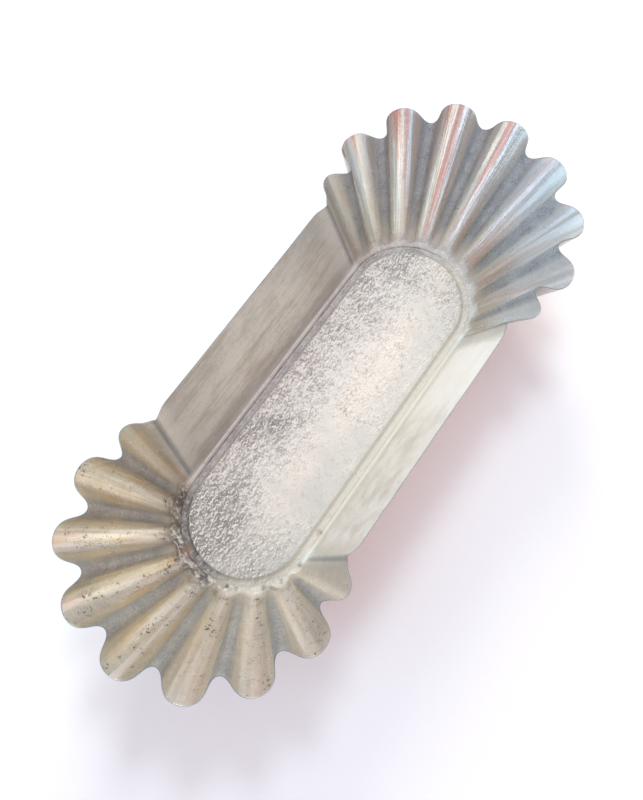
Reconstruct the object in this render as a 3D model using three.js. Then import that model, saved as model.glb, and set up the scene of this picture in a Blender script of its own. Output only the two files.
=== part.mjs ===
// Cake mould pressed from one sheet of tinplate: a long floor with round ends, raised a little above the channel
// round it, two plain sides that lean out, and a fluted fan at each end. The sheet is modelled as its five panels,
// which meet face to face on its fold lines.
// Millimetres, +Z up, X along the mould. The origin is on the surface that the mould stands on, under its middle.
import * as THREE from "three";
import { mergeVertices } from "three/addons/utils/BufferGeometryUtils.js";

// The sheet and the overall form
const SHEET = 0.4; // thickness of the tinplate
const HEIGHT = 45; // from the surface that the mould stands on up to the rim
const END_SPACING = 108; // between the centres of the floor's two round ends

// The floor and the channel round it
const FLOOR_RADIUS = 22; // half the floor's width, and the radius of its round ends
const FLOOR_RISE = 1.2; // height of the floor above the channel
const STEP_RUN = 0.9; // width of the slope from the floor down to the channel
const CHANNEL_WIDTH = 3.2; // from the foot of that slope to the fold under the walls
const FOLD_SIZE = 1.2; // how far the rounded fold reaches along the channel and up the wall

// The walls at the rim
const SIDE_FLARE = 13.5; // how far a plain side leans out between fold and rim
const FAN_SPREAD = 5.9; // how much wider than the plain sides a fan's mean rim is, on each side
const FAN_OFFSET = 16.9; // from the centre of a round end out to the centre of its fan's rim

// The flutes of a fan
const FLUTE_COUNT = 9;
const FLUTE_SWING = 4.6; // how far a flute swings in and out of the mean rim
const FLUTE_INSET = 1.2; // how far inside the fan's mean rim the flutes' middle line lies
const FLUTE_BREADTH = 0.32; // makes the crests broader than the valleys, in radians of the wave
const FLUTE_ROUNDING = 0.2; // rounds crests and valleys and steepens the flanks, in radians of the wave
const FLUTE_SWING_AT_FOLD = 0.5; // the same swing where the flutes run out at the fold
const END_FLUTE_SHARE = 0.78; // angle of the flutes beside the plain sides, as a share of the others' angle

// Fineness of the faceted surface
const STEPS_PER_FLUTE = 12;
const SIDE_STEPS = 6;
const FOLD_STEPS = 3;
const WALL_STEPS = 3;

// Derived sizes
const endX = END_SPACING / 2;
const channelZ = SHEET; // upper surface of the channel, whose underside is the foot
const floorZ = channelZ + FLOOR_RISE;
const foldRadius = FLOOR_RADIUS + STEP_RUN + CHANNEL_WIDTH;
const sideHalfWidth = foldRadius + SIDE_FLARE;
const fanRadius = sideHalfWidth + FAN_SPREAD;
const fanCentreX = endX + FAN_OFFSET;
const fanHalfAngle = Math.PI - Math.asin(sideHalfWidth / fanRadius); // where the fan's rim meets a plain side's
const sideEndX = fanCentreX + fanRadius * Math.cos(fanHalfAngle);
const stepMitre = SHEET * Math.tan(Math.atan2(FLOOR_RISE, STEP_RUN) / 2);

const tinplate = new THREE.MeshStandardMaterial({ color: 0xb4aea0, roughness: 0.38, metalness: 0.9 });
const wornTin = new THREE.MeshStandardMaterial({ color: 0xc2bbb2, roughness: 0.55, metalness: 0.8 });

// Share of a half fan, from 0 at the middle flute to 1 at the plain side, for a place counted in flutes.
function shareOfFan(flutes) {
  const wide = FLUTE_COUNT / 2 - 1;
  const reach = (count) => Math.min(count, wide) + Math.max(count - wide, 0) * END_FLUTE_SHARE;
  return (Math.sign(flutes) * reach(Math.abs(flutes))) / reach(FLUTE_COUNT / 2);
}

// The wave of the flutes at a place counted in flutes: its turn, and its strength, which dies out at the sides.
function fluteWave(flutes) {
  const place = flutes + FLUTE_COUNT / 2;
  const fromSide = Math.min(place, FLUTE_COUNT - place);
  const strength = fromSide < 1 ? (1 - Math.cos(Math.PI * fromSide)) / 2 : 1;
  return { turn: 2 * Math.PI * (place - 0.5), strength };
}

// One upright section through the wall: the centre line's point beside it, the outward direction over the channel,
// the fold with and without flutes, and the rim.
function fanSection(end, flutes) {
  const { turn, strength } = fluteWave(flutes);
  const shift = FLUTE_BREADTH * Math.sin(turn) + FLUTE_ROUNDING * Math.sin(2 * turn);
  const share = shareOfFan(flutes + (strength * shift) / (2 * Math.PI));
  const foldAngle = (share * Math.PI) / 2;
  const rimAngle = share * fanHalfAngle;
  const outward = new THREE.Vector2(Math.cos(foldAngle), Math.sin(foldAngle));
  const rimReach = fanRadius + strength * (FLUTE_SWING * Math.cos(turn) - FLUTE_INSET);
  const foldReach = foldRadius + strength * FLUTE_SWING_AT_FOLD * Math.cos(turn);
  const centre = new THREE.Vector2(endX, 0);
  const fanCentre = new THREE.Vector2(fanCentreX, 0);
  const rimOutward = new THREE.Vector2(Math.cos(rimAngle), Math.sin(rimAngle));
  const section = {
    centre,
    outward,
    plainFold: centre.clone().addScaledVector(outward, foldRadius),
    fold: centre.clone().addScaledVector(outward, foldReach),
    rim: fanCentre.addScaledVector(rimOutward, rimReach),
  };
  // The other end is the same fan, turned half round.
  if (end < 0) Object.values(section).forEach((point) => point.negate());
  return section;
}

function sideSection(side, share) {
  const x = -side * share;
  const fold = new THREE.Vector2(x * endX, side * foldRadius);
  return {
    centre: new THREE.Vector2(x * endX, 0),
    outward: new THREE.Vector2(0, side),
    plainFold: fold,
    fold,
    rim: new THREE.Vector2(x * sideEndX, side * sideHalfWidth),
  };
}

// The four wall panels in order round the mould, each a list of sections that shares its last with the next panel.
function sectionsOfFan(end) {
  const count = FLUTE_COUNT * STEPS_PER_FLUTE;
  return Array.from({ length: count }, (_, i) => fanSection(end, i / STEPS_PER_FLUTE - FLUTE_COUNT / 2));
}
function sectionsOfSide(side) {
  return Array.from({ length: SIDE_STEPS }, (_, i) => sideSection(side, (2 * i) / SIDE_STEPS - 1));
}
const panels = [
  { name: "fluted_end_right", sections: sectionsOfFan(1) },
  { name: "side_wall_rear", sections: sectionsOfSide(1) },
  { name: "fluted_end_left", sections: sectionsOfFan(-1) },
  { name: "side_wall_front", sections: sectionsOfSide(-1) },
];
const sections = panels.flatMap((panel) => panel.sections);

const at = (point, z) => new THREE.Vector3(point.x, point.y, z);

// Upper surface of the wall on one section, from the channel through the rounded fold up to the rim.
function wallRows({ outward, plainFold, fold, rim }) {
  const start = at(plainFold.clone().addScaledVector(outward, -FOLD_SIZE), channelZ);
  const corner = at(fold, channelZ);
  const top = at(rim, HEIGHT);
  const foldEnd = corner.clone().lerp(top, FOLD_SIZE / corner.distanceTo(top));
  const round = new THREE.QuadraticBezierCurve3(start, corner, foldEnd).getPoints(FOLD_STEPS);
  const straight = new THREE.LineCurve3(foldEnd, top).getPoints(WALL_STEPS);
  return [...round, ...straight.slice(1)];
}

// Lower surface of the whole wall: the upper one moved out by the sheet's thickness along its normals.
function lowerWall(upper) {
  const count = upper.length;
  return upper.map((rows, i) =>
    rows.map((point, j) => {
      if (j === 0) return point.clone().setZ(point.z - SHEET);
      const along = upper[(i + 1) % count][j].clone().sub(upper[(i + count - 1) % count][j]);
      const up = rows[Math.min(j + 1, rows.length - 1)].clone().sub(rows[j - 1]);
      return point.clone().addScaledVector(along.cross(up).normalize(), SHEET);
    }),
  );
}

// Upper and lower surface of the floor on one section, from the centre line out to the start of the fold.
function floorRows({ centre, outward, plainFold }) {
  const from = (inset) => plainFold.clone().addScaledVector(outward, -inset);
  const slopeFoot = CHANNEL_WIDTH;
  const slopeTop = CHANNEL_WIDTH + STEP_RUN;
  const edge = from(FOLD_SIZE);
  return {
    upper: [at(centre, floorZ), at(from(slopeTop), floorZ), at(from(slopeFoot), channelZ), at(edge, channelZ)],
    lower: [
      at(centre, floorZ - SHEET),
      at(from(slopeTop + stepMitre), floorZ - SHEET),
      at(from(slopeFoot + stepMitre), channelZ - SHEET),
      at(edge, channelZ - SHEET),
    ],
  };
}

// Closed solid between two grids of points, given as rows for each section. A ring has no ends to close.
function sheetSolid(upper, lower, isRing) {
  const positions = [];
  const triangle = (a, b, c) => {
    const flat = b.clone().sub(a).cross(c.clone().sub(a)).lengthSq() === 0;
    if (!flat) [a, b, c].forEach((point) => positions.push(point.x, point.y, point.z));
  };
  const quad = (a, b, c, d) => {
    triangle(a, b, c);
    triangle(a, c, d);
  };
  const last = upper[0].length - 1;
  const spans = isRing ? upper.length : upper.length - 1;
  for (let i = 0; i < spans; i++) {
    const next = (i + 1) % upper.length;
    for (let j = 0; j < last; j++) {
      quad(upper[i][j], upper[i][j + 1], upper[next][j + 1], upper[next][j]);
      quad(lower[i][j], lower[next][j], lower[next][j + 1], lower[i][j + 1]);
    }
    quad(upper[i][last], lower[i][last], lower[next][last], upper[next][last]);
    if (!isRing) quad(upper[i][0], upper[next][0], lower[next][0], lower[i][0]);
  }
  if (!isRing) {
    const end = upper.length - 1;
    for (let j = 0; j < last; j++) {
      quad(upper[0][j], lower[0][j], lower[0][j + 1], upper[0][j + 1]);
      quad(upper[end][j], upper[end][j + 1], lower[end][j + 1], lower[end][j]);
    }
  }
  const soup = new THREE.BufferGeometry().setAttribute("position", new THREE.Float32BufferAttribute(positions, 3));
  const solid = mergeVertices(soup);
  solid.computeVertexNormals();
  return solid;
}

function named(name, geometry, material) {
  const mesh = new THREE.Mesh(geometry, material);
  mesh.name = name;
  return mesh;
}

const mould = new THREE.Group();

const floor = sections.map(floorRows);
const floorUpper = floor.map((rows) => rows.upper);
const floorLower = floor.map((rows) => rows.lower);
mould.add(named("floor_pan", sheetSolid(floorUpper, floorLower, true), wornTin));

const wallUpper = sections.map(wallRows);
const wallLower = lowerWall(wallUpper);
let first = 0;
for (const panel of panels) {
  const count = panel.sections.length;
  const indices = Array.from({ length: count + 1 }, (_, i) => (first + i) % sections.length);
  const upper = indices.map((i) => wallUpper[i]);
  const lower = indices.map((i) => wallLower[i]);
  mould.add(named(panel.name, sheetSolid(upper, lower, false), tinplate));
  first += count;
}

export default mould;
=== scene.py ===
# Cake mould pressed from one sheet of tinplate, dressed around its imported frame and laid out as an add-on.
# Metres, +Z up and X along the mould, in the frame's own coordinates.
import math

import bpy
import numpy as np
from mathutils import Matrix, Vector


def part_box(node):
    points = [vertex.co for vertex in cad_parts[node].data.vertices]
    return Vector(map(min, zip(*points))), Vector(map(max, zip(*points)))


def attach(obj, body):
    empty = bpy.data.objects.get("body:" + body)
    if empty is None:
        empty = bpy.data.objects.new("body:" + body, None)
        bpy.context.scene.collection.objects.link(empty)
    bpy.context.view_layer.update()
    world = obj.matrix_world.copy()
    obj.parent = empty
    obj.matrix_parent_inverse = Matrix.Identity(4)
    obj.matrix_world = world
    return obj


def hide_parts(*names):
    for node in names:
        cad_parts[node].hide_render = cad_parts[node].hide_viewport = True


bl_info = {
    "name": "Pressed tin cake mould",
    "version": (1, 0, 0),
    "blender": (4, 5, 0),
    "location": "3D View > Sidebar > Cake Mould",
    "description": "Builds a fluted tinplate cake mould around its packed frame",
    "category": "Add Mesh",
}

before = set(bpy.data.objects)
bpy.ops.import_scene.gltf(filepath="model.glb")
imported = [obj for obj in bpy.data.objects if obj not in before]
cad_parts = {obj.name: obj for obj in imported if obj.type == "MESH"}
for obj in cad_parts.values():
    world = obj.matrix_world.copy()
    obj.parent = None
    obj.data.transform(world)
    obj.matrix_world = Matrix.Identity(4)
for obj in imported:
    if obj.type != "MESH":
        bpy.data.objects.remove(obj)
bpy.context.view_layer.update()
MM = 0.001

# Sizes that the frame already holds
END_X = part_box("side_wall_front")[1].x
RIM_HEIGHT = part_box("fluted_end_right")[1].z
FOLD_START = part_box("floor_pan")[1].y

# Rows of the sheet's surface, from the centre line of the floor out and up to the rim
FLOOR_ROWS = 14
STEP_ROWS = 18
FOLD_ROWS = 8
WALL_ROWS = 28
CHANNEL_ROW = FLOOR_ROWS + STEP_ROWS
FOLD_ROW = CHANNEL_ROW + FOLD_ROWS
RIM_ROW = FOLD_ROW + WALL_ROWS
RIM_STEPS = 3
MERGE_DISTANCE = 1e-6

# Irregularities of the pressing
WOBBLE_RATE = 0.9  # how fast the flutes' depth changes, per flute
WOBBLE_STEP = 31  # keeps the wobble of one half of the mould apart from the other's
SWING_LOSS = 0.10  # largest share of its swing that a flute loses
BEND_SCALE = 38.0
SINK_SCALE = 55.0

# How places on the walls are counted for their finish
FAN_BLEND = 0.7  # flutes over which a fan gives way to a plain side
SIDE_BLEND = 12 * MM  # length over which a plain side gives way to a fan
SIDE_FLUTES = 3  # flutes that half a plain side counts for
HALF_FLUTES = 20  # keeps the count of one half of the mould apart from the other's


# Node trees


class Value:
    """A node's output that takes part in Python expressions. Each operation adds a Math node to its tree."""

    def __init__(self, tree, socket):
        self.tree = tree
        self.socket = socket

    def math(self, operation, *others):
        return self.tree.math(operation, self, *others)

    def output(self, name):
        return Value(self.tree, self.socket.node.outputs[name])

    def __add__(self, other):
        return self.math("ADD", other)

    def __sub__(self, other):
        return self.math("SUBTRACT", other)

    def __rsub__(self, other):
        return self.tree.math("SUBTRACT", other, self)

    def __mul__(self, other):
        return self.math("MULTIPLY", other)

    def __truediv__(self, other):
        return self.math("DIVIDE", other)

    __radd__ = __add__
    __rmul__ = __mul__

    def floor(self):
        return self.math("FLOOR")

    def cos(self):
        return self.math("COSINE")

    def sin(self):
        return self.math("SINE")

    def abs(self):
        return self.math("ABSOLUTE")

    def sign(self):
        return self.math("SIGN")

    def min(self, other):
        return self.math("MINIMUM", other)

    def max(self, other):
        return self.math("MAXIMUM", other)

    def above(self, other):
        return self.math("GREATER_THAN", other)

    def clamp(self):
        return self.max(0.0).min(1.0)


class Tree:
    """Adds nodes to a shader or geometry tree."""

    def __init__(self, tree):
        self.tree = tree

    def add(self, kind, settings=None, sockets=None, output=0):
        """Makes a node from its type, its settings and what its sockets hold, and returns an output."""
        node = self.tree.nodes.new(kind)
        for name, setting in (settings or {}).items():
            setattr(node, name, setting)
        for key, value in (sockets or {}).items():
            if isinstance(value, Value):
                self.tree.links.new(value.socket, node.inputs[key])
            else:
                node.inputs[key].default_value = value
        return Value(self, node.outputs[output]) if node.outputs else node

    def math(self, operation, *values):
        return self.add("ShaderNodeMath", {"operation": operation}, dict(enumerate(values)))

    def vector(self, x, y, z):
        return self.add("ShaderNodeCombineXYZ", None, {"X": x, "Y": y, "Z": z})

    def vector_math(self, operation, *values):
        output = "Value" if operation in ("DOT_PRODUCT", "LENGTH", "DISTANCE") else "Vector"
        settings = {"operation": operation}
        return self.add("ShaderNodeVectorMath", settings, dict(enumerate(values)), output)

    def scaled(self, vector, scale):
        return self.add("ShaderNodeVectorMath", {"operation": "SCALE"}, {"Vector": vector, "Scale": scale})

    def smooth(self, value, low, high):
        """0 up to low, 1 from high on, and a smooth ramp between them. Low may be the greater one."""
        settings = {"interpolation_type": "SMOOTHSTEP"}
        return self.add("ShaderNodeMapRange", settings, {"Value": value, "From Min": low, "From Max": high})

    def mix(self, factor, first, second, blend="MIX"):
        settings = {"data_type": "RGBA", "blend_type": blend}
        return self.add("ShaderNodeMix", settings, {0: factor, 6: first, 7: second}, 2)

    def noise(self, vector, scale, detail=3.0, roughness=0.55, distortion=0.0):
        sockets = {
            "Vector": vector,
            "Scale": scale,
            "Detail": detail,
            "Roughness": roughness,
            "Distortion": distortion,
        }
        return self.add("ShaderNodeTexNoise", None, sockets)

    def attribute(self, name):
        return self.add("ShaderNodeAttribute", {"attribute_name": name}, None, "Fac")


# Settings that a user would change


def length(name, description, default):
    return bpy.props.FloatProperty(
        name=name, description=description, default=default, unit="LENGTH", precision=5
    )


def count(name, description, default):
    return bpy.props.IntProperty(name=name, description=description, default=default, min=1)


def share(name, description, default):
    return bpy.props.FloatProperty(name=name, description=description, default=default, subtype="FACTOR")


def tint(name, description, default):
    return bpy.props.FloatVectorProperty(
        name=name, description=description, default=default, subtype="COLOR", size=3
    )


def angle(name, description, degrees):
    default = math.radians(degrees)
    return bpy.props.FloatProperty(name=name, description=description, default=default, subtype="ANGLE")


def power(name, description, default):
    return bpy.props.FloatProperty(name=name, description=description, default=default, unit="POWER")


class MouldSizes(bpy.types.PropertyGroup):
    """Sizes of the pressed sheet, which are also the inputs of its node tree"""

    sheet: length("Sheet", "Thickness of the tinplate", 0.4 * MM)
    rim_height: length("Rim height", "From the foot up to the rim", RIM_HEIGHT)
    end_x: length("End centre", "From the middle to the centre of a round end", END_X)
    floor_radius: length("Floor radius", "Half the width of the floor", 22 * MM)
    floor_rise: length("Floor rise", "Height of the floor above the channel", 1.2 * MM)
    step_run: length("Step run", "Width of the slope from the floor to the channel", 0.9 * MM)
    step_round: length("Step rounding", "How far that slope is rounded off at each end", 0.35 * MM)
    fold_start: length("Fold start", "From the centre line to where the wall's fold begins", FOLD_START)
    fold_size: length("Fold size", "How far the fold reaches along the channel and up the wall", 1.2 * MM)
    side_flare: length("Side flare", "How far a plain side leans out", 13.5 * MM)
    fan_spread: length("Fan spread", "How much wider than a side the fan's mean rim is", 5.9 * MM)
    fan_offset: length("Fan offset", "From a round end's centre to the centre of the fan's rim", 16.9 * MM)
    flute_count: count("Flutes", "Flutes in a fan", 9)
    flute_swing: length("Flute swing", "How far a flute swings in and out at the rim", 4.6 * MM)
    flute_inset: length("Flute inset", "How far inside the mean rim the flutes' middle line lies", 1.2 * MM)
    flute_breadth: share("Flute breadth", "How much broader than the valleys the crests are", 0.32)
    flute_rounding: share("Flute rounding", "How round the crests and the valleys are", 0.2)
    fold_swing: length("Swing at the fold", "How far a flute swings in and out at the fold", 0.5 * MM)
    end_flute_share: share("End flute", "Angle of the flutes beside the sides, as a share of the rest", 0.78)
    end_valley: length("End valley", "How deep the valley beside a plain side is at the rim", 1.5 * MM)
    end_valley_run: length("End valley run", "How far that valley runs into the side", 6 * MM)
    unevenness: length("Unevenness", "How far the pressed walls stray from the true form", 0.35 * MM)
    flute_steps: count("Flute steps", "Facets across a flute", 32)
    side_steps: count("Side steps", "Facets along a plain side", 60)


class TinFinish(bpy.types.PropertyGroup):
    """Colours of the tin and of what years of baking left on it, some of them also used to paint light and
    shade
    """

    tin: tint("Tin", "Clean tin", (0.84, 0.835, 0.785))
    # Worn tin is real rubbed tin, and it also paints highlights on the crests and the fold, glints, the
    # glare of the front side and the pale flanks of the floor's flakes
    worn_and_highlight: tint("Worn tin", "Pale tin where it is rubbed", (0.95, 0.895, 0.835))
    rosy: tint("Rosy tin", "Warm tone of the rubbed floor", (0.86, 0.75, 0.645))
    pale: tint("Pale floor", "Cleanest part of the floor", (0.70, 0.635, 0.565))
    olive: tint("Thin film", "Thin film of burnt fat on the flutes", (0.78, 0.71, 0.55))
    gold: tint("Thick film", "Golden film of burnt fat", (0.82, 0.60, 0.35))
    tan: tint("Tan film", "Film on the plain sides", (0.73, 0.65, 0.53))
    grey: tint("Grey oxide", "Dull grey oxide", (0.47, 0.455, 0.44))
    # Dark oxide is real in the valleys, and it also paints shade into the valleys and into the creases
    # beside the plain sides
    dark_oxide_and_shade: tint("Dark oxide", "Blue-grey oxide in the valleys", (0.23, 0.26, 0.29))
    # Etched tin also paints the shaded flank of each raised flake on the floor
    etched_and_shaded: tint("Etched tin", "Brownish tin where the floor is etched", (0.40, 0.345, 0.30))
    cool: tint("Cool film", "Greenish film at the tips of the near flutes", (0.60, 0.66, 0.61))
    # A painted reflection of the room's blue light on the far flutes, not a film on the tin
    sky_reflection: tint("Sky reflection", "Bluish film on the far flutes", (0.80, 0.88, 0.92))
    residue: tint("Residue", "Dark residue in the corners", (0.13, 0.11, 0.10))
    rust: tint("Rust", "Rust where the tin has gone", (0.40, 0.24, 0.17))


class StudioLight(bpy.types.PropertyGroup):
    """Floor, light and camera"""

    paper: tint("Paper", "White paper under the mould", (0.93, 0.93, 0.935))
    key_power: power("Key power", "Power of the high window light", 2.6)
    key_colour: tint("Key colour", "Colour of the high window light", (0.84, 1.0, 1.06))
    key_size: length("Key size", "Width of the high window light", 0.26)
    low_power: power("Low power", "Power of the low window light", 4.0)
    low_colour: tint("Low colour", "Colour of the low window light", (1.0, 0.97, 0.87))
    low_size: length("Low size", "Width of the low window light", 0.3)
    lens: bpy.props.FloatProperty(name="Lens", description="Focal length", default=36.0, unit="CAMERA")
    azimuth: angle("Azimuth", "Camera's side", -60.33)
    elevation: angle("Elevation", "Camera's height", 73.43)
    roll: angle("Roll", "Camera's roll", 5.79)
    distance: length("Distance", "From the camera to the middle of the foot", 0.3129)
    aside: length("Aside", "Camera's shift to its right", -3.77 * MM)
    raised: length("Raised", "Camera's shift upwards in its picture", 2.52 * MM)


# The pressed sheet


class Sizes:
    """The tree's inputs by the names of the settings that they come from."""

    def __init__(self, tree, inputs):
        for name in MouldSizes.__annotations__:
            setattr(self, name, inputs.output(MouldSizes.bl_rna.properties[name].name))
        self.tree = tree
        self.fold_radius = self.fold_start + self.fold_size
        self.side_half_width = self.fold_radius + self.side_flare
        self.fan_radius = self.side_half_width + self.fan_spread
        self.fan_half_angle = math.pi - (self.side_half_width / self.fan_radius).math("ARCSINE")
        self.fan_columns = self.flute_count * self.flute_steps
        self.half_columns = self.fan_columns + self.side_steps
        self.rim_top = self.rim_height - self.sheet / 2


class SheetPlace:
    """Where a column round the mould and a row from centre line to rim lie, before the sheet is pressed."""

    def __init__(self, s, column, row):
        # The second half of the mould is the first one, turned half round.
        half = (column / s.half_columns).floor()
        self.turn = (half * math.pi).cos()
        along = column - half * s.half_columns
        self.place = (along / s.flute_steps).min(s.flute_count)
        self.on_side = along.above(s.fan_columns)
        self.across = 1 - 2 * ((along - s.fan_columns) / s.side_steps).max(0.0)
        self.wobble = s.tree.add(
            "ShaderNodeTexNoise",
            {"noise_dimensions": "1D"},
            {"W": self.place * WOBBLE_RATE + half * WOBBLE_STEP, "Scale": 1.0, "Detail": 0.0},
        )
        self.from_side = self.place.min(s.flute_count - self.place)
        self.fade = (1 - (self.from_side.min(1.0) * math.pi).cos()) / 2
        self.phase = (self.place - 0.5) * (2 * math.pi)
        shift = s.flute_breadth * self.phase.sin() + s.flute_rounding * (self.phase * 2).sin()
        flutes = self.place + self.fade * shift / (2 * math.pi) - s.flute_count / 2
        wide = s.flute_count / 2 - 1
        reach = flutes.abs().min(wide) + (flutes.abs() - wide).max(0.0) * s.end_flute_share
        self.share = flutes.sign() * reach / (wide + s.end_flute_share)
        self.floor_share = (row / FLOOR_ROWS).min(1.0)
        self.step_share = ((row - FLOOR_ROWS) / STEP_ROWS).clamp()
        self.fold_share = ((row - CHANNEL_ROW) / FOLD_ROWS).clamp()
        self.wall_share = ((row - FOLD_ROW) / WALL_ROWS).clamp()
        self.on_wall = row.above(CHANNEL_ROW)

    def either(self, on_fan, on_side):
        return on_fan + self.on_side * (on_side - on_fan)


def flute_wave(p, swing, inset):
    return p.fade * (swing * p.phase.cos() - inset)


def pressed_position(s, p):
    """Position on the sheet's upper surface, as a vector."""
    fold_angle = p.share * (math.pi / 2)
    rim_angle = p.share * s.fan_half_angle
    outward_x = p.either(fold_angle.cos(), 0.0)
    outward_y = p.either(fold_angle.sin(), 1.0)
    centre_x = p.either(s.end_x, p.across * s.end_x)
    fold_reach = s.fold_radius + p.either(flute_wave(p, s.fold_swing, 0.0), 0.0)

    # The rim, with the valley between the last flute and the plain side
    swing = s.flute_swing * (1 - SWING_LOSS * p.wobble)
    near_end = 1 - (p.from_side * 2).min(1.0)
    end_dip = s.end_valley * near_end * near_end
    rim_reach = s.fan_radius + flute_wave(p, swing, s.flute_inset) - end_dip
    side_end_x = s.fan_offset + s.end_x + (s.fan_radius - s.end_valley) * s.fan_half_angle.cos()
    from_end = (1 - p.across.abs()) * side_end_x
    valley_y = s.side_half_width - (s.fan_radius - s.end_valley) * s.fan_half_angle.sin()
    dip = s.tree.smooth(from_end, s.end_valley_run, 0.0) * valley_y
    rim_x = p.either(s.end_x + s.fan_offset + rim_reach * rim_angle.cos(), p.across * side_end_x)
    rim_y = p.either(rim_reach * rim_angle.sin(), s.side_half_width - dip)

    # The floor, its step and the channel
    plain = s.floor_radius - s.step_round
    reach = plain * p.floor_share + (s.fold_start - plain) * p.step_share
    slope_foot = s.floor_radius + s.step_run + s.step_round
    floor_z = s.sheet + s.floor_rise * s.tree.smooth(reach, slope_foot, plain)

    # The rounded fold, and the straight wall from its end to the rim
    corner_x = centre_x + outward_x * fold_reach
    corner_y = outward_y * fold_reach
    run_x = rim_x - corner_x
    run_y = rim_y - corner_y
    run_z = s.rim_top - s.sheet
    fold_part = s.fold_size / (run_x * run_x + run_y * run_y + run_z * run_z).math("SQRT")
    q = p.fold_share
    start_weight = (1 - q) * (1 - q)
    climb = q * q * fold_part + p.wall_share * (1 - fold_part)
    to_start = s.fold_start - fold_reach
    wall_x = corner_x + start_weight * outward_x * to_start + climb * run_x
    wall_y = corner_y + start_weight * outward_y * to_start + climb * run_y
    wall_z = s.sheet + climb * run_z

    x = (centre_x + outward_x * reach) * (1 - p.on_wall) + wall_x * p.on_wall
    y = outward_y * reach * (1 - p.on_wall) + wall_y * p.on_wall
    z = floor_z * (1 - p.on_wall) + wall_z * p.on_wall

    # Slow bends in the walls, always inwards, and a rim that isn't quite level
    place = s.tree.vector(x * p.turn, y * p.turn, z)
    bend = s.tree.noise(place, BEND_SCALE, 1.0) * s.unevenness * p.wall_share
    sink = s.tree.noise(place, SINK_SCALE, 1.0) * s.unevenness * p.wall_share * p.wall_share
    x = (x - outward_x * bend) * p.turn
    y = (y - outward_y * bend) * p.turn
    return s.tree.vector(x, y, z - sink)


PANEL_INPUTS = ("First column", "Columns", "First row", "Last row", "Rim steps", "Caps")


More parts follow.
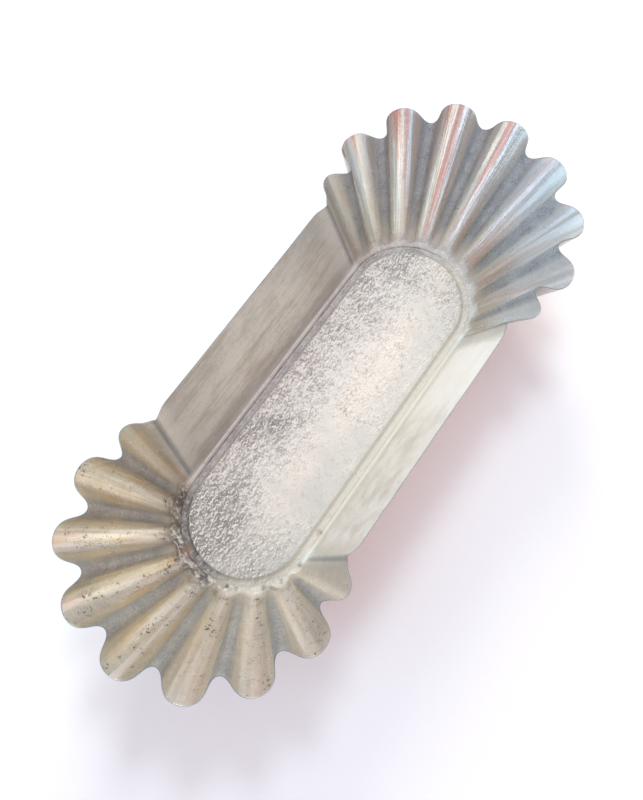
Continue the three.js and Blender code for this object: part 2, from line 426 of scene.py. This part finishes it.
def sheet_tree():
    """The node tree that presses one panel: its upper and lower surface, its edges and its rim."""
    group = bpy.data.node_groups.new("Pressed sheet", "GeometryNodeTree")
    group.is_modifier = True
    faces = group.interface
    faces.new_socket("Geometry", in_out="OUTPUT", socket_type="NodeSocketGeometry")
    for name in MouldSizes.__annotations__:
        setting = MouldSizes.bl_rna.properties[name]
        kind = "NodeSocketInt" if setting.type == "INT" else "NodeSocketFloat"
        faces.new_socket(setting.name, in_out="INPUT", socket_type=kind)
    for name in PANEL_INPUTS:
        faces.new_socket(name, in_out="INPUT", socket_type="NodeSocketInt")
    faces.new_socket("Material", in_out="INPUT", socket_type="NodeSocketMaterial")

    tree = Tree(group)
    inputs = tree.add("NodeGroupInput")
    s = Sizes(tree, inputs)
    index = tree.add("GeometryNodeInputIndex")

    # The whole upper surface, with one column more at each end so that its normals are whole there too
    rows = RIM_ROW + 1
    column = ((index + 0.5) / rows).floor()
    p = SheetPlace(s, column - 1, index - column * rows)
    grid_sockets = {"Vertices X": 2 * s.half_columns + 3, "Vertices Y": rows}
    grid = tree.add("GeometryNodeMeshGrid", None, grid_sockets)
    skin = tree.add("GeometryNodeSetPosition", None, {"Geometry": grid, "Position": pressed_position(s, p)})

    def sampled(field, kind, at):
        settings = {"data_type": kind, "domain": "POINT"}
        return tree.add("GeometryNodeSampleIndex", settings, {"Geometry": skin, "Value": field, "Index": at})

    # One panel, as rows round its section: up the upper surface, over the rim and down the lower surface
    panel_inputs = (inputs.output(name) for name in PANEL_INPUTS)
    first_column, columns, first_row, last_row, rim_steps, caps = panel_inputs
    span = last_row - first_row
    section = 2 * span + rim_steps + 2 + caps
    panel_column = ((index + 0.5) / section).floor()
    around = index - panel_column * section
    cap = (panel_column.math("LESS_THAN", 0.5) + panel_column.above(columns + 1.5)).clamp() * caps
    skin_column = first_column + (panel_column - caps).max(0.0).min(columns)
    over_rim = (around - span).max(0.0).min(rim_steps + 1) / (rim_steps + 1)
    closing = around.above(2 * span + rim_steps + 1.5)
    down = (around - span - rim_steps - 1).max(0.0)
    skin_row = (first_row + around.min(span) - down).max(first_row)
    at = (skin_column + 1) * rows + skin_row
    position = tree.add("GeometryNodeInputPosition")
    normal = tree.add("GeometryNodeInputNormal")
    point = sampled(position, "FLOAT_VECTOR", at)
    outward = sampled(normal, "FLOAT_VECTOR", at)
    below = sampled(position, "FLOAT_VECTOR", at - 1)
    up = tree.vector_math("NORMALIZE", tree.vector_math("SUBTRACT", point, below))
    turn = over_rim * math.pi * (1 - closing)
    depth = ((1 - turn.cos()) * (1 - cap) + cap) / 2 * s.sheet
    lip = turn.sin() * (1 - cap) * s.sheet / 2
    moved = tree.vector_math("ADD", point, tree.scaled(outward, depth))
    moved = tree.vector_math("ADD", moved, tree.scaled(up, lip))
    facing = tree.vector_math("ADD", tree.scaled(outward, turn.cos() * -1), tree.scaled(up, turn.sin()))

    panel_sockets = {"Vertices X": columns + 1 + 2 * caps, "Vertices Y": section}
    panel = tree.add("GeometryNodeMeshGrid", None, panel_sockets)
    wave = flute_wave(p, 1.0, 0.0) * (1 - p.on_side)
    round_share = p.place + p.on_side * (1 - p.across) * SIDE_FLUTES
    near_side = tree.smooth(p.from_side, FAN_BLEND, 0.0) / 2
    into_side = 0.5 + tree.smooth((1 - p.across.abs()) * s.end_x, 0.0, SIDE_BLEND) / 2
    stored = {
        "sheet_normal": ("FLOAT_VECTOR", facing),
        "flute_wave": ("FLOAT", sampled(wave, "FLOAT", at)),
        "flute_place": ("FLOAT", sampled(round_share + (1 - p.turn) * HALF_FLUTES, "FLOAT", at)),
        "wall_share": ("FLOAT", sampled(p.wall_share, "FLOAT", at)),
        "fold_share": ("FLOAT", sampled(p.fold_share, "FLOAT", at)),
        "step_share": ("FLOAT", sampled(p.step_share, "FLOAT", at)),
        "side_share": ("FLOAT", sampled(p.either(near_side, into_side), "FLOAT", at)),
        "outside": ("FLOAT", over_rim * (1 - closing)),
    }
    for name, (kind, value) in stored.items():
        settings = {"data_type": kind, "domain": "POINT"}
        sockets = {"Geometry": panel, "Name": name, "Value": value}
        panel = tree.add("GeometryNodeStoreNamedAttribute", settings, sockets)
    panel = tree.add("GeometryNodeSetPosition", None, {"Geometry": panel, "Position": moved})
    panel = tree.add("GeometryNodeMergeByDistance", None, {"Geometry": panel, "Distance": MERGE_DISTANCE})
    panel = tree.add("GeometryNodeFlipFaces", None, {"Mesh": panel})
    panel = tree.add("GeometryNodeSetShadeSmooth", None, {"Geometry": panel})
    panel = tree.add("GeometryNodeRealizeInstances", None, {"Geometry": panel})
    sockets = {"Geometry": panel, "Material": inputs.output("Material")}
    panel = tree.add("GeometryNodeSetMaterial", None, sockets)
    tree.add("NodeGroupOutput", None, {"Geometry": panel})
    return group


def make_panel(sizes, node, material, panel):
    """One panel of the sheet as a plain mesh that stands for a node of the frame."""
    group = bpy.data.node_groups.get("Pressed sheet") or sheet_tree()
    name = "tin_" + node
    piece = bpy.data.objects.new(name, bpy.data.meshes.new(name))
    bpy.context.scene.collection.objects.link(piece)
    modifier = piece.modifiers.new("Pressed sheet", "NODES")
    modifier.node_group = group
    properties = MouldSizes.bl_rna.properties
    settings = {properties[key].name: getattr(sizes, key) for key in MouldSizes.__annotations__}
    settings.update(panel, Material=material)
    for socket in group.interface.items_tree:
        if socket.in_out == "INPUT":
            modifier[socket.identifier] = settings[socket.name]
    bpy.context.view_layer.update()
    evaluated = piece.evaluated_get(bpy.context.evaluated_depsgraph_get())
    mesh = bpy.data.meshes.new_from_object(evaluated)
    piece.modifiers.remove(modifier)
    piece.data = mesh
    mesh.name = name
    if not mesh.polygons:
        raise RuntimeError(f"{name} has no faces")

    # Normals of the whole sheet, so that no line shows where two panels meet
    stored = mesh.attributes["sheet_normal"]
    normals = np.zeros(len(mesh.vertices) * 3, np.float32)
    stored.data.foreach_get("vector", normals)
    mesh.normals_split_custom_set_from_vertices(normals.reshape(-1, 3))
    mesh.attributes.remove(mesh.attributes["sheet_normal"])

    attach(piece, "root")
    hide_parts(node)
    return piece


# Finishes


# Noise patterns by name: scale, detail, roughness and distortion, the last ones only where they matter
WALL_NOISE = {
    "cloud": (60.0, 3.0, 0.6),
    "patch": (190.0, 4.0, 0.62),
    "mottle": (560.0, 4.0, 0.68),
    "chip": (800.0, 3.0, 0.6),
    "grain": (1500.0, 4.0, 0.7),
    "spark": (1700.0, 2.0),
}
FLOOR_NOISE = {
    "cloud": (42.0, 4.0, 0.6),
    "blot": (140.0, 4.0, 0.62),
    "coarse": (480.0, 4.0, 0.72, 0.6),
    "fine": (1350.0, 4.0, 0.75),
}
FLAKE_NOISE = (900.0, 2.0, 0.6, 0.8)
FLAKE_STRETCH = (0.55, 1.0, 1.0)
FLAKE_FLANK = (0.1 * MM, 0.3 * MM, 0.0)

# Depth of the fine relief
WALL_RELIEF = {"Strength": 0.22, "Distance": 0.5 * MM}
FLOOR_RELIEF = {"Strength": 0.85, "Distance": 0.6 * MM}
PAPER_RELIEF = {"Strength": 0.3, "Distance": 0.3 * MM}

# Marks along the channel, as x and y and the reach of each in millimetres
RESIDUE_MARKS = (
    (-62.0, 24.6, 4.2),
    (-70.2, 19.6, 2.6),
    (-76.0, 13.2, 4.6),
    (-80.6, 0.6, 3.4),
    (-78.4, -8.5, 1.8),
)
RUST_MARKS = ((-76.8, 11.4, 3.6), (-42.5, -24.6, 1.6))
MARK_HEIGHT = 0.5 * MM


def connect(tree, shader, **outputs):
    for name, value in outputs.items():
        tree.tree.links.new(value.socket, shader.inputs[name.replace("_", " ")])


class Finish:
    """A new tin material, whose colour is built up coat by coat."""

    def __init__(self, name, settings, noises, first):
        self.material = bpy.data.materials.new(name)
        self.material.use_nodes = True
        self.tree = Tree(self.material.node_tree)
        self.colours = {key: (*getattr(settings, key), 1.0) for key in TinFinish.__annotations__}
        self.colour = self.colours[first]
        self.place = self.tree.add("ShaderNodeTexCoord", None, None, "Object")
        parts = self.tree.add("ShaderNodeSeparateXYZ", None, {0: self.place})
        self.x, self.y, self.z = (parts.output(axis) for axis in "XYZ")
        for pattern, values in noises.items():
            setattr(self, pattern, self.tree.noise(self.place, *values))

    def coat(self, amount, name):
        self.colour = self.tree.mix(amount, self.colour, self.colours[name])

    def done(self, rough, metal, relief, height):
        bump = self.tree.add("ShaderNodeBump", None, {**relief, "Height": height})
        shader = self.material.node_tree.nodes["Principled BSDF"]
        rough, metal = rough.clamp(), metal.clamp()
        connect(self.tree, shader, Base_Color=self.colour, Roughness=rough, Metallic=metal, Normal=bump)
        return self.material


def marked(f, marks, ragged):
    """1 on the marks and 0 away from them, with a ragged outline."""
    total = None
    for x, y, reach in marks:
        apart = f.tree.vector_math("DISTANCE", f.place, (x * MM, y * MM, MARK_HEIGHT)) / MM
        apart = apart + (ragged - 0.5) * 3 * reach
        mark = f.tree.smooth(apart, reach, reach * 0.1)
        total = mark if total is None else total.max(mark)
    return total


def grimy(f):
    """The stretch of the channel, round the near end, where residue has built up."""
    return f.tree.smooth(f.x, -54 * MM, -63 * MM) * f.tree.smooth(f.y, -12 * MM, 4 * MM)


class WallFinish(Finish):
    """Tin of the walls, with shares that say where on them a place is."""

    def __init__(self, settings):
        super().__init__("wall tin", settings, WALL_NOISE, "tin")
        tree = self.tree
        self.wave = tree.attribute("flute_wave")
        self.up = tree.attribute("wall_share")
        self.fold = tree.attribute("fold_share")
        self.side_share = tree.attribute("side_share")
        self.outside = tree.attribute("outside")
        self.far = tree.smooth(self.x, -30 * MM, 60 * MM)
        self.near = 1 - self.far
        self.front = tree.smooth(self.y, 4 * MM, -4 * MM)
        self.on_fan = tree.smooth(self.side_share, 0.5, 0.15)
        self.on_side = tree.smooth(self.side_share, 0.5, 0.95)
        self.rear_wall = self.on_side * (1 - self.front)
        self.valley = tree.smooth(self.wave, 0.0, -0.8) * tree.smooth(self.up, 0.0, 0.3)
        self.crest = tree.smooth(self.wave, 0.45, 0.95)

        # Patterns drawn out up the flutes and along the plain sides
        flute = tree.attribute("flute_place")
        self.along_flute = tree.noise(tree.vector(flute * 2.6, self.up * 1.5, 3.0), 1.3, 3.0)
        self.fine_streak = tree.noise(tree.vector(flute * 15.0, self.up * 1.2, 7.0), 1.3, 3.0)
        drawn = tree.vector(self.x * 18.0, self.y * 60.0, self.z * 120.0)
        self.lengthwise = tree.noise(drawn, 1.0, 4.0, 0.6)
        drawn = tree.vector(self.x * 70.0, self.y * 500.0, self.z * 1400.0)
        self.scratch = tree.noise(drawn, 1.0, 3.0, 0.6)


def film_coats(w):
    """Films of burnt fat, golden along the flutes and tan on the plain sides, the greys of age, and a
    painted blue reflection on the far flutes.
    """
    tree = w.tree
    w.coat(w.near * w.on_fan * 0.8, "olive")
    gilt = tree.smooth(w.along_flute * 0.75 + w.patch * 0.25, 0.48, 0.66)
    w.coat(gilt * w.on_fan * (0.34 + 0.5 * w.near), "gold")
    film = w.lengthwise * 0.5 + w.cloud * 0.42 + w.mottle * 0.08
    w.coat(tree.smooth(film, 0.44, 0.60) * w.on_side * 0.55, "tan")
    tips = tree.smooth(w.up, 0.45, 1.0) * tree.smooth(w.patch, 0.35, 0.6)
    w.coat(tips * w.near * w.on_fan * 0.5, "cool")
    w.coat(tree.smooth(w.y, 0.0, -30 * MM) * w.near * w.on_fan * 0.6, "worn_and_highlight")
    aged = w.rear_wall * tree.smooth(w.x.abs(), 10 * MM, 50 * MM) + w.far * w.on_fan
    w.coat(aged * 0.3, "grey")
    # Painted reflection of the room's blue light on the front half of the far flutes
    w.blued = w.far * w.on_fan * tree.smooth(w.y, 5 * MM, -25 * MM) * tree.smooth(w.up, 0.1, 0.6)
    w.coat(w.blued * 0.5, "sky_reflection")
    w.coat(tree.smooth(w.up, 0.55, 0.05) * w.far * w.on_fan * 0.6, "tan")
    stain = tree.smooth(w.cloud * 0.4 + w.mottle * 0.25 + w.scratch * 0.35, 0.44, 0.62)
    w.coat(stain * (0.24 + 0.16 * w.rear_wall), "grey")
    streaks = tree.smooth(w.scratch * 0.5 + w.lengthwise * 0.5, 0.47, 0.60)
    dark_rim = tree.smooth(w.up, 0.45, 1.0)
    w.coat((streaks * 0.22 + dark_rim * 0.15) * w.rear_wall, "dark_oxide_and_shade")


def wear_coats(w):
    """Dull valleys with painted shade, painted highlights on the crests, the pale front side with a painted
    glare, and a darker strip at the foot of the plain sides.
    """
    tree = w.tree
    # Painted shade in the valleys, in dark oxide colour
    w.coat(w.valley * 0.35, "dark_oxide_and_shade")
    w.dull = w.valley * tree.smooth(w.patch * 0.3 + w.grain * 0.7, 0.36, 0.6)
    oxide = tree.mix(0.65 + 0.15 * w.far, w.colours["grey"], w.colours["dark_oxide_and_shade"])
    w.colour = tree.mix(w.dull * 0.92, w.colour, oxide)
    # Painted highlight lines along the crests, in pale tin colour
    w.coat(w.crest * tree.smooth(w.fine_streak, 0.46, 0.60) * 0.8, "worn_and_highlight")
    # Painted highlight streaks low on the crests of the near flutes
    crest_highlight = tree.smooth(w.wave, 0.75, 1.0) * tree.smooth(w.up, 0.55, 0.1)
    crest_highlight = crest_highlight * tree.smooth(w.fine_streak, 0.38, 0.5)
    w.coat(crest_highlight * w.near * w.on_fan * 0.7, "worn_and_highlight")
    # The front side painted paler: pale patches over it, and a painted highlight, the glare, towards its far
    # end
    w.glare = tree.smooth(w.x, 0.0, 24 * MM) * w.on_side * w.front
    pale = (0.35 + 0.45 * tree.smooth(w.patch, 0.58, 0.42) + 0.6 * w.glare).clamp()
    w.pale = pale * w.front * w.on_side * tree.smooth(w.up, 0.0, 0.12)
    w.coat(w.pale * 0.6, "worn_and_highlight")
    w.coat(tree.smooth(w.up, 0.20, 0.03) * w.on_side * (1 - 0.4 * w.front) * 0.45, "grey")


def speck_coats(w):
    """Grain, dark specks and painted bright glints."""
    tree = w.tree
    shade = 0.76 + 0.48 * (w.grain * 0.7 + w.scratch * 0.3 * w.on_side)
    w.colour = tree.mix(1.0, w.colour, shade, "MULTIPLY")
    crowd = 0.25 + 0.4 * w.valley + 0.75 * w.crest * w.near
    crowd = crowd * tree.smooth(w.patch, 0.47, 0.62) * (1 - 0.6 * w.pale)
    chips = tree.smooth(w.chip, 0.57, 0.63) * w.near * w.crest
    w.coat(tree.smooth(w.grain, 0.57, 0.66).max(chips) * crowd, "residue")
    # Painted glints: pale specks, most in the valleys
    w.coat(tree.smooth(w.spark, 0.62, 0.71) * (0.15 + 0.7 * w.valley) * 0.55, "worn_and_highlight")


def fold_coats(w):
    """The rubbed fold with a pale stripe along it, partly rubbed tin and partly a painted highlight, darker
    where it starts away from the front side, and residue and rust where it meets the channel.
    """
    tree = w.tree
    w.foot = tree.smooth(w.up, 0.10, 0.0) * tree.smooth(w.fold, 0.1, 0.5)
    w.coat(w.foot * w.on_fan * 0.55, "grey")
    w.coat(w.foot * w.on_fan * tree.smooth(w.mottle, 0.50, 0.60) * 0.6, "worn_and_highlight")
    w.bend = tree.smooth(w.up, 0.05, 0.0)
    w.coat(w.bend * w.front * w.on_side * 0.7, "tan")
    # A pale stripe along the fold: partly rubbed tin, partly a painted highlight, weaker on the front side
    # and on the fans
    fold_wear_and_highlight = tree.smooth(w.up, 0.012, 0.0) * tree.smooth(w.fold, 0.55, 0.75)
    fold_wear_and_highlight = fold_wear_and_highlight * (1 - 0.6 * tree.smooth(w.mottle, 0.5, 0.62))
    w.coat(fold_wear_and_highlight * (0.9 - 0.75 * w.front) * (1 - w.on_fan * 0.6), "worn_and_highlight")
    dusty = w.foot * (0.4 + 0.5 * w.front) * w.on_fan
    w.coat(dusty * tree.smooth(w.mottle, 0.55, 0.4) * 0.8, "tan")
    grime = tree.smooth(w.up, 0.16, 0.0) * tree.smooth(w.mottle * 0.7 + w.patch * 0.3, 0.56, 0.44)
    w.coat(grimy(w) * grime * 0.75, "residue")
    dark_foot = tree.smooth(w.up, 0.22, 0.02) * tree.smooth(w.patch, 0.5, 0.66)
    w.coat(dark_foot * w.near * w.on_fan * 0.6, "residue")
    # Darker where the fold starts, less so on the front side
    dirty = tree.smooth(w.fold, 0.4, 0.05) * (1 - w.front * 0.75)
    w.dirty = dirty * (0.55 + 0.45 * tree.smooth(w.patch, 0.35, 0.6))
    w.residue = marked(w, RESIDUE_MARKS, w.mottle)
    w.coat((w.dirty * 0.8).max(w.residue * 0.85), "residue")
    w.coat(marked(w, RUST_MARKS, w.mottle) * 0.8, "rust")


def edge_coats(w):
    """Painted shade in the creases beside the plain sides, the cut edge and the baked outside."""
    tree = w.tree
    # Painted shade in the creases where the plain sides meet the fans
    crease_shade = tree.smooth((w.side_share - 0.5).abs(), 0.035, 0.0) * tree.smooth(w.up, 0.0, 0.12)
    w.coat(crease_shade * (0.35 + 0.4 * w.patch), "dark_oxide_and_shade")
    w.edge = tree.smooth(w.outside, 0.02, 0.2) * tree.smooth(w.outside, 0.98, 0.8)
    w.coat(w.edge * 0.7, "dark_oxide_and_shade")
    w.under = tree.smooth(w.outside, 0.85, 1.0)
    w.coat(w.under * 0.4, "tan")
    baked = tree.smooth(w.cloud * 0.35 + w.mottle * 0.25 + w.grain * 0.4, 0.38, 0.64)
    w.coat(w.under * baked * 0.4, "dark_oxide_and_shade")


def wall_tin(settings):
    """Semi-gloss tin with films of burnt fat, dull valleys with painted shade, and painted highlights on the
    crests.
    """
    w = WallFinish(settings)
    for add_coats in (film_coats, wear_coats, speck_coats, fold_coats, edge_coats):
        add_coats(w)
    rough = 0.22 + 0.12 * w.cloud + 0.22 * w.valley + 0.18 * w.on_side - 0.12 * w.far * w.crest
    rough = rough + 0.3 * w.foot + 0.45 * w.bend + 0.3 * (w.dirty + w.residue)
    rough = rough + 0.15 * w.under + 0.2 * w.edge
    metal = 0.9 - 0.08 * w.near * w.on_fan - 0.25 * w.dull - 0.3 * w.blued - 0.6 * w.pale
    metal = metal - 0.25 * w.foot - 0.6 * w.bend - 0.2 * w.glare
    height = w.grain * (0.3 + 0.8 * w.valley + 0.4 * w.on_side) + w.mottle * 0.8
    height = height + w.fine_streak * 2.2 * w.on_fan
    return w.done(rough, metal, WALL_RELIEF, height)


def floor_tin(settings):
    """Worn tin, densely etched along its rear edge and at its ends, with painted pale and dark flanks on its
    flakes, colour graded across it to offset the lamps, and a channel with residue that is darker along its
    rear side.
    """
    f = Finish("floor tin", settings, FLOOR_NOISE, "pale")
    tree = f.tree
    step = tree.attribute("step_share")

    # Raised flakes, longer than they are wide: a bump, with a pale and a dark flank painted as their light
    # and shade
    stretched = tree.vector_math("MULTIPLY", f.place, FLAKE_STRETCH)
    rising = tree.noise(tree.vector_math("ADD", stretched, FLAKE_FLANK), *FLAKE_NOISE)
    falling = tree.noise(tree.vector_math("SUBTRACT", stretched, FLAKE_FLANK), *FLAKE_NOISE)
    painted_flank_light = rising - falling

    # How heavily the tin is etched
    rear = tree.smooth(f.y, -10 * MM, 17 * MM)
    ends = tree.smooth(f.x.abs(), 35 * MM, 70 * MM) + tree.smooth(f.x, -35 * MM, -65 * MM)
    heavy = 0.05 + rear * 0.6 + ends * 0.2 + (f.cloud - 0.5) * 1.1 + (f.blot - 0.5)
    heavy = heavy.clamp()
    etched = f.coarse * 0.45 + f.fine * 0.55 + heavy * 0.12

    f.coat(tree.smooth(f.cloud * 0.6 + f.blot * 0.4, 0.36, 0.62), "rosy")
    # Painted light: lighter on the rear side, which the rear wall shades, and greyer on the front side,
    # which the lamps light more
    f.coat(rear * 0.6, "worn_and_highlight")
    f.coat(tree.smooth(f.y, -4 * MM, -18 * MM) * 0.42, "grey")
    patches = tree.smooth(f.cloud, 0.52, 0.64) * rear * 0.5
    near_end = tree.smooth(f.x, -45 * MM, -66 * MM) * (1 - rear) * 0.45
    f.coat(patches + near_end, "grey")
    f.coat(tree.smooth(etched, 0.50, 0.60) * (0.3 + 0.25 * heavy), "etched_and_shaded")
    f.coat(tree.smooth(etched, 0.57, 0.63) * (0.12 + 0.55 * heavy), "residue")
    # Painted shade and highlight on the flakes' flanks
    f.coat(tree.smooth(painted_flank_light, -0.07, -0.15) * heavy * 0.95, "etched_and_shaded")
    pale_flank_paint = tree.smooth(painted_flank_light, 0.05, 0.12) * heavy
    f.coat(pale_flank_paint, "worn_and_highlight")

    # Step and channel, both smooth and dull
    sunk = tree.smooth(step, 0.04, 0.2)
    rear_side = tree.smooth(f.y, -14 * MM, 4 * MM)
    dull = tree.mix(rear_side, f.colours["tan"], f.colours["grey"])
    f.colour = tree.mix(sunk * (0.35 + 0.2 * rear_side), f.colour, dull)
    # The rear lip of the floor painted pale: a painted highlight where its edge faces the lamps, broken into
    # flakes
    lip = tree.smooth(step, 0.0, 0.03) * tree.smooth(step, 0.2, 0.1) * tree.smooth(f.coarse, 0.42, 0.58)
    f.coat(lip * 0.6 * rear_side, "worn_and_highlight")
    groove = tree.smooth(step, 0.42, 0.6) * tree.smooth(step, 0.95, 0.7)
    # Darker in the channel's groove, most on the rear side
    dark_groove = groove * (0.05 + 0.3 * rear_side) * tree.smooth(f.blot, 0.4, 0.65)
    residue = marked(f, RESIDUE_MARKS, f.coarse)
    grime = grimy(f) * sunk * tree.smooth(f.coarse, 0.60, 0.46) * 0.75
    f.coat(dark_groove.max(residue * 0.85).max(grime), "residue")
    f.coat(marked(f, RUST_MARKS, f.coarse) * 0.65, "rust")

    rough = 0.46 + 0.12 * f.blot - 0.14 * heavy * (1 - sunk) + 0.16 * sunk
    metal = 0.35 + 0.3 * pale_flank_paint - 0.2 * tree.smooth(etched, 0.5, 0.7) - 0.15 * sunk - 0.3 * residue
    height = (rising + f.fine * 0.6) * (0.15 + heavy) * (1 - 0.8 * sunk)
    return f.done(rough, metal, FLOOR_RELIEF, height)


# Operators


class MOULD_OT_floor(bpy.types.Operator):
    """Press the raised floor and the channel round it"""

    bl_idname = "mould.floor"
    bl_label = "Floor pan"

    def execute(self, context):
        sizes = context.scene.mould_sizes
        columns = 2 * (sizes.flute_count * sizes.flute_steps + sizes.side_steps)
        panel = dict(zip(PANEL_INPUTS, (0, columns, 0, CHANNEL_ROW, 0, 0)))
        make_panel(sizes, "floor_pan", floor_tin(context.scene.mould_finish), panel)
        return {"FINISHED"}


def wall_finish(context):
    return bpy.data.materials.get("wall tin") or wall_tin(context.scene.mould_finish)


class MOULD_OT_fluted_ends(bpy.types.Operator):
    """Press the fluted fan at each end"""

    bl_idname = "mould.fluted_ends"
    bl_label = "Fluted ends"

    def execute(self, context):
        sizes = context.scene.mould_sizes
        columns = sizes.flute_count * sizes.flute_steps
        for half, node in enumerate(("fluted_end_right", "fluted_end_left")):
            first = half * (columns + sizes.side_steps)
            panel = dict(zip(PANEL_INPUTS, (first, columns, CHANNEL_ROW, RIM_ROW, RIM_STEPS, 1)))
            make_panel(sizes, node, wall_finish(context), panel)
        return {"FINISHED"}


class MOULD_OT_side_walls(bpy.types.Operator):
    """Press the two plain sides"""

    bl_idname = "mould.side_walls"
    bl_label = "Side walls"

    def execute(self, context):
        sizes = context.scene.mould_sizes
        fan_columns = sizes.flute_count * sizes.flute_steps
        for half, node in enumerate(("side_wall_rear", "side_wall_front")):
            first = fan_columns + half * (fan_columns + sizes.side_steps)
            panel = dict(zip(PANEL_INPUTS, (first, sizes.side_steps, CHANNEL_ROW, RIM_ROW, RIM_STEPS, 1)))
            make_panel(sizes, node, wall_finish(context), panel)
        return {"FINISHED"}


PAPER_HALF = 1.5
PAPER_TOOTH = 900.0
PAPER_ROUGHNESS = 0.9


def add_paper(studio):
    half = PAPER_HALF
    mesh = bpy.data.meshes.new("paper")
    corners = [(-half, -half, 0), (half, -half, 0), (half, half, 0), (-half, half, 0)]
    mesh.from_pydata(corners, [], [(0, 1, 2, 3)])
    paper = bpy.data.objects.new("paper", mesh)
    bpy.context.scene.collection.objects.link(paper)
    material = bpy.data.materials.new("white paper")
    material.use_nodes = True
    tree = Tree(material.node_tree)
    shader = material.node_tree.nodes["Principled BSDF"]
    place = tree.add("ShaderNodeTexCoord", None, None, "Object")
    tooth = tree.noise(place, PAPER_TOOTH, 3.0)
    bump = tree.add("ShaderNodeBump", None, {**PAPER_RELIEF, "Height": tooth})
    connect(tree, shader, Normal=bump)
    shader.inputs["Base Color"].default_value = (*studio.paper, 1.0)
    shader.inputs["Roughness"].default_value = PAPER_ROUGHNESS
    mesh.materials.append(material)


# Toward the two window lights, both behind the far end on the rear side
HIGH_WINDOW = (0.42, 0.29, 0.86)
LOW_WINDOW = (0.65, 0.57, 0.50)


def add_lamp(name, toward, size, energy, tone):
    """A round lamp a metre from the mould's middle, in the given direction."""
    light = bpy.data.lights.new(name, "AREA")
    light.shape = "DISK"
    light.size = size
    light.energy = energy
    light.color = tone
    lamp = bpy.data.objects.new(name, light)
    toward = Vector(toward).normalized()
    lamp.location = toward
    lamp.rotation_mode = "QUATERNION"
    lamp.rotation_quaternion = toward.to_track_quat("Z", "Y")
    bpy.context.scene.collection.objects.link(lamp)


# The room's light at the horizon, then its patches: azimuth, elevation, outer and inner half angle
# in degrees, and colour
ROOM_HORIZON = (0.73, 0.718, 0.735, 1)
ROOM_PATCHES = (
    # Overhead
    (0, 90, 100, 20, (0.675, 0.665, 0.67, 1)),
    # Rosy, in front
    (-80, 25, 60, 30, (0.72, 0.34, 0.28, 1)),
    # Blue, beyond the near end
    (180, 20, 70, 30, (1.34, 1.72, 2.15, 1)),
    # Pale blue, behind
    (112, 10, 36, 18, (0.88, 1.10, 1.28, 1)),
    # Dark, behind the near end
    (155, 14, 22, 12, (0.42, 0.38, 0.36, 1)),
    # Rosy and white, in front of the near end
    (-155, 28, 26, 15, (0.82, 0.50, 0.48, 1)),
    (-127, 9, 20, 10, (1.5, 1.5, 1.45, 1)),
)


def light_world():
    """A room of soft patches of light, which the flutes mirror."""
    world = bpy.data.worlds.new("room")
    bpy.context.scene.world = world
    world.use_nodes = True
    tree = Tree(world.node_tree)
    toward = tree.add("ShaderNodeTexCoord", None, None, "Generated")
    light = ROOM_HORIZON
    for *angles, patch in ROOM_PATCHES:
        side, height, wide, narrow = (math.radians(degrees) for degrees in angles)
        level = math.cos(height)
        centre = (level * math.cos(side), level * math.sin(side), math.sin(height))
        along = tree.vector_math("DOT_PRODUCT", toward, centre)
        light = tree.mix(tree.smooth(along, math.cos(wide), math.cos(narrow)), light, patch)
    connect(tree, world.node_tree.nodes["Background"], Color=light)


SENSOR_WIDTH = 36.0
CLIP_START = 0.01


def add_camera(studio):
    azimuth, elevation = studio.azimuth, studio.elevation
    back = Vector(
        (
            math.sin(azimuth) * math.cos(elevation),
            -math.cos(azimuth) * math.cos(elevation),
            math.sin(elevation),
        )
    )
    level = Vector((0, 0, 1)).cross(back).normalized()
    upright = back.cross(level)
    right = math.cos(studio.roll) * level + math.sin(studio.roll) * upright
    up = back.cross(right)
    data = bpy.data.cameras.new("camera")
    data.lens = studio.lens
    data.sensor_width = SENSOR_WIDTH
    data.clip_start = CLIP_START
    camera = bpy.data.objects.new("camera", data)
    turned = Matrix((right, up, back)).transposed().to_4x4()
    spot = studio.aside * right + studio.raised * up + studio.distance * back
    camera.matrix_world = Matrix.Translation(spot) @ turned
    bpy.context.scene.collection.objects.link(camera)
    bpy.context.scene.camera = camera


class MOULD_OT_stage(bpy.types.Operator):
    """Lay the paper and set the light and the camera"""

    bl_idname = "mould.stage"
    bl_label = "Stage"

    def execute(self, context):
        studio = context.scene.mould_studio
        add_paper(studio)
        add_lamp("key", HIGH_WINDOW, studio.key_size, studio.key_power, studio.key_colour)
        add_lamp("low", LOW_WINDOW, studio.low_size, studio.low_power, studio.low_colour)
        light_world()
        add_camera(studio)
        context.scene.view_settings.view_transform = "Standard"
        return {"FINISHED"}


class MOULD_PT_panel(bpy.types.Panel):
    """Lists the mould's settings and operators"""

    bl_idname = "MOULD_PT_panel"
    bl_label = "Cake Mould"
    bl_space_type = "VIEW_3D"
    bl_region_type = "UI"
    bl_category = "Cake Mould"

    def draw(self, context):
        for group in (context.scene.mould_sizes, context.scene.mould_finish, context.scene.mould_studio):
            box = self.layout.box()
            for name in type(group).__annotations__:
                box.prop(group, name)
        for operator in OPERATORS:
            self.layout.operator(operator.bl_idname)


OPERATORS = (MOULD_OT_floor, MOULD_OT_fluted_ends, MOULD_OT_side_walls, MOULD_OT_stage)
SETTINGS = {"mould_sizes": MouldSizes, "mould_finish": TinFinish, "mould_studio": StudioLight}


def register():
    for kind in (*SETTINGS.values(), *OPERATORS, MOULD_PT_panel):
        bpy.utils.register_class(kind)
    for name, kind in SETTINGS.items():
        setattr(bpy.types.Scene, name, bpy.props.PointerProperty(type=kind))


def unregister():
    for name in SETTINGS:
        delattr(bpy.types.Scene, name)
    for kind in (MOULD_PT_panel, *reversed(OPERATORS), *reversed(SETTINGS.values())):
        bpy.utils.unregister_class(kind)


def main():
    register()
    bpy.ops.mould.floor()
    bpy.ops.mould.fluted_ends()
    bpy.ops.mould.side_walls()
    bpy.ops.mould.stage()


if __name__ == "__main__":
    main()
